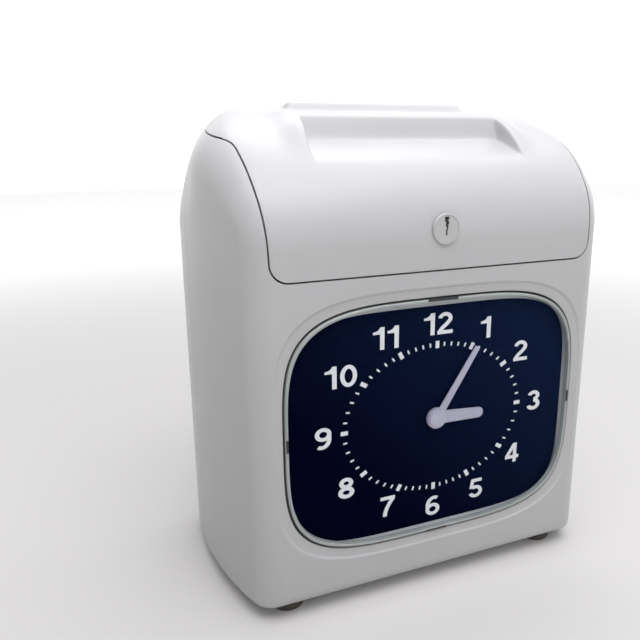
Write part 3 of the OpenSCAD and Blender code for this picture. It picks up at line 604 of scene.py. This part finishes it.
def cover_space(g, back):
    """Space of the cover, smaller by g on every seam."""
    before = FRONT - 6
    front = prism("cover_front", cover_outline(g), 1, before, back)
    # the seam of the sides climbs steeply at first and levels out
    start, low, high = -25, 222.1, 231.6
    rise = [(y, low + (high - low) * (1 - (1 - (y - start) / (COVER_BACK - start)) ** 1.45))
            for y in np.linspace(start, 43.5, 15)]
    seam = [(before, 214.4)] + rise + [(back, high)]
    sides = prism("cover_sides", [(y, z + g) for y, z in seam] + [(back, ABOVE), (before, ABOVE)],
                  0, -OUTER, OUTER)
    return boolean(front, sides, "UNION")


# ---------------------------------------------------------------- front and rear case
case = copy_of(shell, "case")
boolean(case, cover_space(0.0, REAR_EDGE), "DIFFERENCE")
front_case = copy_of(case, "front_case_skin")
boolean(front_case, block("half", (-OUTER, PART_Y - CASE_GAP, -10), (OUTER, OUTER, 270)), "DIFFERENCE")
rear_case = copy_of(case, "rear_case_skin")
boolean(rear_case, block("half", (-OUTER, -OUTER, -10), (OUTER, PART_Y + CASE_GAP, 270)), "DIFFERENCE")
bpy.data.objects.remove(case)

# dished border of the window: it drops quickly at its outer edge and then slopes to the opening
DISH_RINGS, LENS_PLAY = 16, 0.15
dish_profile = [(DISH_W + 1, -3), (DISH_W + 0.4, -0.02)]
for k in range(1, DISH_RINGS + 1):
    s = k / DISH_RINGS
    dish_profile.append((DISH_W * (1 - s) + LENS_PLAY, DISH_DEEP * (step(s, 0, 0.25) + s) / 2))
dish_profile.append((LENS_PLAY, 8))
dish = loft("dish", [screen(WIN_A + grow, WIN_B + grow, FRONT + deep) for grow, deep in dish_profile], None)
smooth_dish = Smooth(dish, flip=True)
boolean(front_case, dish, "DIFFERENCE")
shade_from(front_case, [smooth_out, smooth_in, smooth_dish])
front_case.data.materials.append(MATS["housing_plastic"])
finish_piece(front_case, "base", "housing_plastic", "front_case", smooth=0)


def cut_rear(name, outline):
    boolean(rear_case, prism(name, outline, 1, BACK - 5, BACK + 2), "DIFFERENCE")


# rear: vents, wall holes, screw wells and the opening for the mains inlet
VENTS, VENT_Z, VENT_PITCH, VENT_HALF, VENT_R = 7, 161.2, 6, 23, 1.2
for k in range(VENTS):
    z = VENT_Z + VENT_PITCH * k
    end = [(VENT_HALF + VENT_R * math.sin(math.radians(a)), z + VENT_R * math.cos(math.radians(a)))
           for a in range(0, 181, 30)]
    cut_rear("vent", end + [(-x, 2 * z - pz) for x, pz in end])
for sx in (-1, 1):
    for z in WALL_HOLE_Z:
        cut_rear("hole", disc(sx * WALL_HOLE_X, z, 2.5, 32))
    for z in WELL_Z:
        cut_rear("well", disc(sx * WELL_X, z, 4.0, 40))
INLET_X, INLET_Z, INLET_HALF_W, INLET_HALF_H = 58, 27, 13.6, 9.6
cut_rear("inlet", [(INLET_X + i * INLET_HALF_W, INLET_Z + j * INLET_HALF_H)
                   for i, j in ((-1, -1), (1, -1), (1, 1), (-1, 1))])

# seats of the hinge pins and the room for the cover's knuckles, kept under the rounded shoulder
SEAT_IN, SEAT_OUT, POCKET_HALF = 9.2, 6.6, 5.3
for sx in (-1, 1):
    ends = sorted((sx * (HINGE_X - SEAT_IN), sx * (HINGE_X + SEAT_OUT)))
    boolean(rear_case, block("seat", (ends[0], REAR_EDGE + 0.6, 234), (ends[1], 52.5, 237.6)), "UNION")
    boolean(rear_case, block("pocket", (sx * HINGE_X - POCKET_HALF, 43, 236.6),
                             (sx * HINGE_X + POCKET_HALF, 53.4, 250)), "DIFFERENCE")
shade_from(rear_case, [smooth_out, smooth_in])
rear_case.data.materials.append(MATS["housing_plastic"])
finish_piece(rear_case, "base", "housing_plastic", "rear_case", smooth=0)

# screw posts of both cases, and the ledge that carries the front of the deck
POST_R, POST_GAP, POST_FRONT, POST_BACK = 4.5, 0.3, -42, 54
posts = block("case_posts", (-83, FRONT + WALL - 0.2, 159.5), (83, -50, 161.4))
for z in WELL_Z:
    for x in (-WELL_X, WELL_X):
        for bore, y0, y1 in ((2.2, PART_Y + POST_GAP, POST_BACK), (1.6, POST_FRONT, PART_Y - POST_GAP)):
            join_into(posts, tube("post", x, z, ((bore, y0), (POST_R, y0), (POST_R, y1), (bore, y1))))
posts.data.materials.append(MATS["housing_plastic"])
finish_piece(posts, "base", "housing_plastic")

# ---------------------------------------------------------------- cover
cover = copy_of(shell, "cover_skin")
boolean(cover, cover_space(SEAM_GAP, COVER_BACK), "INTERSECT")
boolean(cover, block("slot", (-SLOT_HALF, SLOT_0, 215), (SLOT_HALF, SLOT_1, ABOVE)), "DIFFERENCE")
boolean(cover, prism("lock", disc(0, LOCK_Z, 5.6, 48), 1, FRONT - 3, FRONT + 6), "DIFFERENCE")
shade_from(cover, [smooth_out, smooth_in])
cover.data.materials.append(MATS["housing_plastic"])
finish_piece(cover, "cover", "housing_plastic", "top_cover", smooth=0)
bpy.data.objects.remove(shell)


def slot_ring(grow, z):
    x, y0, y1 = SLOT_HALF + grow, SLOT_0 - grow, SLOT_1 + grow
    return [(-x, y0, z), (x, y0, z), (x, y1, z), (-x, y1, z)]


THROAT_WALL, THROAT_LOW, THROAT_HIGH = 2, 221, 235.4
throat = loft("card_throat", [slot_ring(THROAT_WALL, THROAT_LOW), slot_ring(THROAT_WALL, THROAT_HIGH),
                              slot_ring(0, THROAT_HIGH), slot_ring(0, THROAT_LOW)],
              "housing_plastic", closed=True)
finish_piece(throat, "cover", "housing_plastic")

knuckles = None
for sx in (-1, 1):
    x0, x1 = sx * HINGE_X - KNUCKLE_HALF, sx * HINGE_X + KNUCKLE_HALF
    bore = PIN_R + 0.05
    rings = [[(x, py, pz) for py, pz in disc(HINGE_Y, HINGE_Z, r, 32)]
             for r, x in ((bore, x0), (KNUCKLE_R, x0), (KNUCKLE_R, x1), (bore, x1))]
    eye = loft("cover_knuckles", rings, None, closed=True)
    join_into(eye, block("arm", (x0, COVER_BACK - 8, HINGE_Z - 1.5), (x1, HINGE_Y - 1.9, HINGE_Z + 0.1)))
    knuckles = eye if knuckles is None else join_into(knuckles, eye)
knuckles.data.materials.append(MATS["housing_plastic"])
finish_piece(knuckles, "cover", "housing_plastic")


def hinge_pin(name, x0, x1):
    chamfer = 0.3
    rings = [[(x, py, pz) for py, pz in disc(HINGE_Y, HINGE_Z, r, 32)]
             for x, r in ((x0, PIN_R - chamfer), (x0 + chamfer, PIN_R),
                          (x1 - chamfer, PIN_R), (x1, PIN_R - chamfer))]
    return loft(name, rings, None)


# the outer ends of the pins stop short of the rounded shoulder
PIN_IN, PIN_OUT = 10.8, 5.4
pins = join_into(hinge_pin("hinge_pins_shown", -HINGE_X - PIN_OUT, -HINGE_X + PIN_IN),
                 hinge_pin("pin", HINGE_X - PIN_IN, HINGE_X + PIN_OUT))
pins.data.materials.append(MATS["steel"])
finish_piece(pins, "base", "steel", "hinge_pins")

# ---------------------------------------------------------------- lock
# a flange with a rounded rim, recessed for the head of the plug
lock_profile = [(5.05, LOCK_BACK), (5.05, -57.15), (6.05, -57.15), (6.05, -57.92), (6.15, -57.98),
                (6.6, -58.0), (6.95, -57.85), (7.1, -57.5), (7.1, -56.9), (5.5, -56.9), (5.5, LOCK_BACK)]
barrel = tube("lock_face", 0, LOCK_Z, lock_profile, "housing_plastic", 64)
finish_piece(barrel, "cover", "housing_plastic", "lock_barrel")
plug_profile = ((6.0, -57.9), (6.0, -57.2), (5.0, -57.2), (5.0, LOCK_BACK))
plug = loft("lock_plug_face", [[(px, y, pz) for px, pz in disc(0, LOCK_Z, r, 64)]
                               for r, y in plug_profile], None)
# outline of the keyway round the middle of the plug
KEY = [(-1.3, 5.6), (1.1, 5.6), (1.2, 4.6), (0.5, 4.0), (1.3, 3.0), (0.6, 1.8), (0.9, 0.6), (0.3, -0.8),
       (0.4, -2.8), (-0.5, -2.8), (-0.6, -0.6), (-0.1, 0.6), (-0.9, 1.8), (-0.5, 2.8), (-1.3, 3.8)]
boolean(plug, prism("key", [(x, LOCK_Z + z) for x, z in KEY], 1, -59, -50), "DIFFERENCE")
plug.data.materials.append(MATS["housing_plastic"])
finish_piece(plug, "lock", "steel", "lock_plug", smooth=30)
# a near-black block fills the keyway just behind the plug's face: painted shade for the deep slot
keyway = prism("keyway", [(x * 0.98, LOCK_Z + z * 0.98) for x, z in KEY], 1, -57.2, -50.5)
keyway.data.materials.append(MATS["keyway_painted_shade"])
finish_piece(keyway, "lock", "black_plastic", smooth=0)

# ---------------------------------------------------------------- lens and its frame
def window_ring(name, profile, material):
    """Ring round the window, from a closed profile of (outwards from its edge, y)."""
    return loft(name, [screen(WIN_A + o, WIN_B + o, y) for o, y in profile], material, closed=True)


PANE_FRONT, PANE_BACK = -56.75, -55.5
pane = loft("lens_pane", [screen(WIN_A - 2.3, WIN_B - 2.2, y) for y in (PANE_FRONT, PANE_BACK)],
            "clear_plastic")
finish_piece(pane, "base", "clear_plastic", "lens", smooth=0)
rim_profile = [(-0.9, -54.5), (-0.9, -56.5), (-1.0, -56.75), (-1.25, -56.92), (-1.5, -56.95),
               (-1.9, -56.9), (-2.3, PANE_FRONT), (-2.3, PANE_BACK), (-2.6, -55.2), (-2.6, -54.5)]
finish_piece(window_ring("lens_rim", rim_profile, "rim_plastic"), "base", "clear_plastic", smooth=50)
gasket_profile = [(0.1, -54.6), (0.1, -55.2), (-0.88, -55.2), (-0.88, -54.6)]
finish_piece(window_ring("lens_gasket", gasket_profile, "soft_black"), "base", "soft_black", smooth=0)
# the pale ring behind the pane ends in a squarer opening, a little below the window's centre
FRAME_FRONT, FRAME_BACK = -54.45, -52.85
frame_rings = [screen(WIN_A - 2.6, WIN_B - 2.5, FRAME_FRONT), screen(WIN_A - 0.6, WIN_B - 0.6, FRAME_FRONT),
               screen(WIN_A - 0.6, WIN_B - 0.6, FRAME_BACK), screen(77.0, 57.0, FRAME_BACK, 89.6, 4.9)]
ring = loft("lens_ring", frame_rings, "pale_plastic", closed=True)
finish_piece(ring, "base", "pale_plastic", "lens_frame", smooth=40)

# four flat clips on the rim
CLIP_FRONT, CLIP_BACK = -57.1, -56.7
clips = None
for x0, x1, z0, z1 in ((-8, 8, WIN_Z + WIN_B - 1.8, WIN_Z + WIN_B - 0.6),
                       (-6, 6, WIN_Z - WIN_B + 0.9, WIN_Z - WIN_B + 1.5),
                       (-WIN_A + 1.2, -WIN_A + 2.2, WIN_Z - 3, WIN_Z + 3),
                       (WIN_A - 2.2, WIN_A - 1.2, WIN_Z - 3, WIN_Z + 3)):
    clip = block("lens_clips", (x0, CLIP_FRONT, z0), (x1, CLIP_BACK, z1))
    clips = clip if clips is None else join_into(clips, clip)
clips.data.materials.append(MATS["black_plastic"])
finish_piece(clips, "base", "black_plastic", smooth=0)

# ---------------------------------------------------------------- numerals
# value, and the place of its middle on the dial
NUMERALS = [(12, 0.3, 137.6), (1, 27.5, 132.7), (2, 49.6, 118.1), (3, 60.1, 89.5), (4, 48.3, 61.5),
            (5, 26.2, 45.7), (6, 0.0, 41.5), (7, -25.8, 47.0), (8, -48.3, 61.8), (9, -59.8, 89.3),
            (10, -50.5, 118.1), (11, -27.7, 133.8)]
DIGIT_H, DIGIT_W = 10.8, 12.9
DIGIT_GAP, BOLD = 0.11, 0.168                   # in the digits' own units
PRINT_THICK, PRINT_LIFT, LAYER_STEP = 0.09, 0.1, 0.012


def bow(cx, cy, rx, ry, a0, a1, n=28):
    angles = [math.radians(a0 + (a1 - a0) * i / n) for i in range(n + 1)]
    return [(cx + rx * math.cos(a), cy + ry * math.sin(a)) for a in angles]


# strokes of each digit in a box one unit high: centre line and width
DIGITS = {
    "0": [(bow(0.34, 0.5, 0.245, 0.405, 0, 360, 40), BOLD)],
    "1": [([(0.37, 0), (0.37, 1)], 0.175)],
    "2": [(bow(0.325, 0.70, 0.225, 0.205, 172, -42) +
           [(0.38, 0.44), (0.20, 0.28), (0.115, 0.15), (0.10, 0.085)], BOLD),
          ([(0.0, 0.085), (0.66, 0.085)], 0.17)],
    "3": [(bow(0.32, 0.725, 0.205, 0.18, 165, -88), 0.175),
          (bow(0.32, 0.29, 0.235, 0.205, 88, -165), 0.185)],
    "4": [([(0.46, 0), (0.46, 1)], BOLD), ([(0.0, 0.285), (0.66, 0.285)], 0.165),
          ([(0.43, 0.96), (0.055, 0.30)], 0.165)],
    "5": [([(0.12, 0.915), (0.60, 0.915)], 0.17), ([(0.17, 0.95), (0.105, 0.50)], 0.16),
          (bow(0.315, 0.325, 0.24, 0.235, 128, -160, 32), BOLD)],
    "6": [(bow(0.34, 0.315, 0.235, 0.225, 0, 360, 40), BOLD),
          (bow(0.40, 0.52, 0.295, 0.39, 200, 62), BOLD)],
    "7": [([(0.02, 0.915), (0.64, 0.915)], 0.17),
          ([(0.56, 0.87), (0.43, 0.68), (0.30, 0.42), (0.235, 0.20), (0.21, 0)], BOLD)],
    "8": [(bow(0.34, 0.735, 0.195, 0.175, 0, 360, 40), 0.175),
          (bow(0.34, 0.285, 0.235, 0.195, 0, 360, 40), 0.185)],
}
DIGITS["9"] = [([(0.68 - x, 1 - z) for x, z in line], w) for line, w in DIGITS["6"]]
# the flag of the 1
FLAG = [(0.0, 0.69), (0.0, 0.80), (0.12, 0.82), (0.21, 0.87), (0.265, 0.94), (0.285, 1.0), (0.36, 1.0),
        (0.36, 0.69)]
DIGIT_WIDTH = {"1": 0.47, "2": 0.66, "0": 0.68}
OTHER_WIDTH = 0.67


def ribbon(line, width):
    """Both edges of a stroke along a centre line."""
    left, right = [], []
    closed = math.dist(line[0], line[-1]) < 1e-6
    for k, (x, z) in enumerate(line):
        a = line[k - 1] if k else (line[-2] if closed else line[0])
        b = line[k + 1] if k + 1 < len(line) else (line[1] if closed else line[-1])
        length = math.dist(a, b)
        nx, nz = -(b[1] - a[1]) / length * width / 2, (b[0] - a[0]) / length * width / 2
        left.append((x + nx, z + nz))
        right.append((x - nx, z - nz))
    return left, right


def numerals_piece():
    """The hour numerals as thin raised print; strokes that cross lie in layers of their own."""
    bm = bmesh.new()

    def print_faces(outlines, x0, xc, zc, layer):
        y = DIAL_Y - PRINT_LIFT - LAYER_STEP * layer
        for outline in outlines:
            bm.faces.new([bm.verts.new(((xc + (px + x0) * DIGIT_W) * MM, y * MM,
                                        (zc + (pz - 0.5) * DIGIT_H) * MM)) for px, pz in outline])

    for value, xc, zc in NUMERALS:
        text = str(value)
        widths = [DIGIT_WIDTH.get(c, OTHER_WIDTH) for c in text]
        x0 = -(sum(widths) + DIGIT_GAP * (len(text) - 1)) / 2
        for c, wide in zip(text, widths):
            if c == "1":
                print_faces([FLAG], x0, xc, zc, 1)
            for layer, (line, width) in enumerate(DIGITS[c]):
                left, right = ribbon(line, width)
                quads = [(left[k], left[k + 1], right[k + 1], right[k]) for k in range(len(line) - 1)]
                print_faces(quads, x0, xc, zc, layer)
            x0 += wide + DIGIT_GAP
    bmesh.ops.remove_doubles(bm, verts=bm.verts, dist=0.0005 * MM)
    for face in bm.faces:
        face.normal_update()
        if face.normal.y > 0:
            face.normal_flip()
    solid = bmesh.ops.extrude_face_region(bm, geom=bm.faces[:])
    moved = [g for g in solid["geom"] if isinstance(g, bmesh.types.BMVert)]
    bmesh.ops.translate(bm, verts=moved, vec=(0, PRINT_THICK * MM, 0))
    bmesh.ops.recalc_face_normals(bm, faces=bm.faces)
    mesh = bpy.data.meshes.new("dial_numerals")
    bm.to_mesh(mesh)
    bm.free()
    mesh.materials.append(MATS["print_white"])
    obj = bpy.data.objects.new("dial_numerals", mesh)
    bpy.context.scene.collection.objects.link(obj)
    return obj


finish_piece(numerals_piece(), "base", "print_white", smooth=0)

# ---------------------------------------------------------------- edges of the CAD pieces that show
SKIP_BEVEL = {"dial_ticks", "ribbon_strand", "dial_plate"}
FINE_EDGE, PLAIN_EDGE = 0.00015, 0.00025
for name, node in frame["nodes"].items():
    if node.hide_render or name in SKIP_BEVEL:
        continue
    bevel = node.modifiers.new("edge", "BEVEL")
    bevel.width = FINE_EDGE if any(word in name for word in ("hand", "wheel", "pinion")) else PLAIN_EDGE
    bevel.segments = 2
    bevel.limit_method = "ANGLE"
    bevel.angle_limit = math.radians(40)
    bevel.harden_normals = False

# ---------------------------------------------------------------- stage, light and camera
WHITE = (1, 1, 1, 1)


def staged(name, verts, faces, mat):
    mesh = bpy.data.meshes.new(name)
    mesh.from_pydata(verts, [], faces)
    mesh.materials.append(mat)
    obj = bpy.data.objects.new(name, mesh)
    bpy.context.scene.collection.objects.link(obj)
    return obj


# floor in metres, matt, glowing a little more with the distance from the machine so that it fades out
floor_mat, tree, bsdf = shader_nodes("floor")
bsdf.inputs["Base Color"].default_value = (0.60, 0.59, 0.57, 1)
bsdf.inputs["Roughness"].default_value = 0.9
bsdf.inputs["Specular IOR Level"].default_value = 0.1
bsdf.inputs["Emission Color"].default_value = WHITE
place = add(tree, "ShaderNodeTexCoord")
far = add(tree, "ShaderNodeVectorMath", operation="LENGTH")
tree.links.new(place.outputs["Object"], far.inputs[0])
glow = add(tree, "ShaderNodeMapRange", interpolation_type="SMOOTHSTEP")
for key, value in (("From Min", 0.25), ("From Max", 1.7), ("To Min", 0.06), ("To Max", 0.86)):
    glow.inputs[key].default_value = value
tree.links.new(far.outputs["Value"], glow.inputs["Value"])
tree.links.new(glow.outputs["Result"], bsdf.inputs["Emission Strength"])
FLOOR = 6
staged("floor", [(-FLOOR, -FLOOR, 0), (FLOOR, -FLOOR, 0), (FLOOR, FLOOR, 0), (-FLOOR, FLOOR, 0)],
       [(0, 1, 2, 3)], floor_mat)

# pale surround that the camera and the gloss see, but that lights nothing
RADIUS, ROUND = 5.0, 48
dome_rings = ((1, -0.1), (1, 1.5), (0.8, 3.6), (0.4, 4.6), (0.02, 4.9))
dome_verts = [(x * f, y * f, z) for f, z in dome_rings for x, y in disc(0, 0, RADIUS, ROUND)]
dome_faces = [(r * ROUND + k, r * ROUND + (k + 1) % ROUND, (r + 1) * ROUND + (k + 1) % ROUND,
               (r + 1) * ROUND + k) for r in range(len(dome_rings) - 1) for k in range(ROUND)]
surround_mat, _, bsdf = shader_nodes("surround")
bsdf.inputs["Base Color"].default_value = (0.8, 0.8, 0.8, 1)
bsdf.inputs["Emission Color"].default_value = WHITE
bsdf.inputs["Emission Strength"].default_value = 0.88
surround = staged("surround", dome_verts, dome_faces, surround_mat)
surround.visible_diffuse = False
surround.visible_shadow = False

world = bpy.data.worlds.new("studio")
bpy.context.scene.world = world
world.use_nodes = True
world.node_tree.nodes["Background"].inputs["Color"].default_value = WHITE
world.node_tree.nodes["Background"].inputs["Strength"].default_value = 0.05


COOL = (0.965, 0.96, 1.0)


def lamp(name, place, aim, size, watts):
    """Soft box at a place in metres, turned to its aim."""
    light = bpy.data.lights.new(name, "AREA")
    light.shape = "RECTANGLE"
    light.size, light.size_y = size
    light.energy = watts
    light.color = COOL
    obj = bpy.data.objects.new(name, light)
    obj.location = place
    obj.rotation_mode = "QUATERNION"
    obj.rotation_quaternion = (Vector(aim) - Vector(place)).to_track_quat("-Z", "Y")
    bpy.context.scene.collection.objects.link(obj)


lamp("overhead", (0.1, -0.05, 1.45), (0, 0, 0.2), (1.8, 1.6), 18)
lamp("left_high", (-0.5, -0.4, 1.5), (0, 0, 0.2), (1.0, 1.0), 4.5)
lamp("right_high", (0.8, -0.2, 1.2), (0, 0, 0.2), (1.0, 1.0), 3)
lamp("front_high", (0.0, -1.0, 1.5), (0, 0, 0.15), (1.4, 1.0), 12.5)
lamp("back_high", (0.3, 0.8, 1.5), (0, 0, 0.2), (1.2, 0.8), 4.5)

camera = bpy.data.cameras.new("camera")
camera.lens = 36.1
camera.sensor_width = 36.0
camera.clip_start, camera.clip_end = 0.01, 50
eye = bpy.data.objects.new("camera", camera)
bpy.context.scene.collection.objects.link(eye)
# the camera's axes and place, as its viewpoint was found
RIGHT, UP, BACKWARD = (0.9274, -0.3737, -0.0147), (0.1045, 0.2211, 0.9696), (-0.3591, -0.9008, 0.2441)
EYE = (-0.1615, -0.3064, 0.2146)
eye.matrix_world = Matrix((*zip(RIGHT, UP, BACKWARD, EYE), (0, 0, 0, 1)))
bpy.context.scene.camera = eye
view = bpy.context.scene.view_settings
view.view_transform = "Standard"
view.look = "None"
view.exposure = 0.0
view.gamma = 1.0
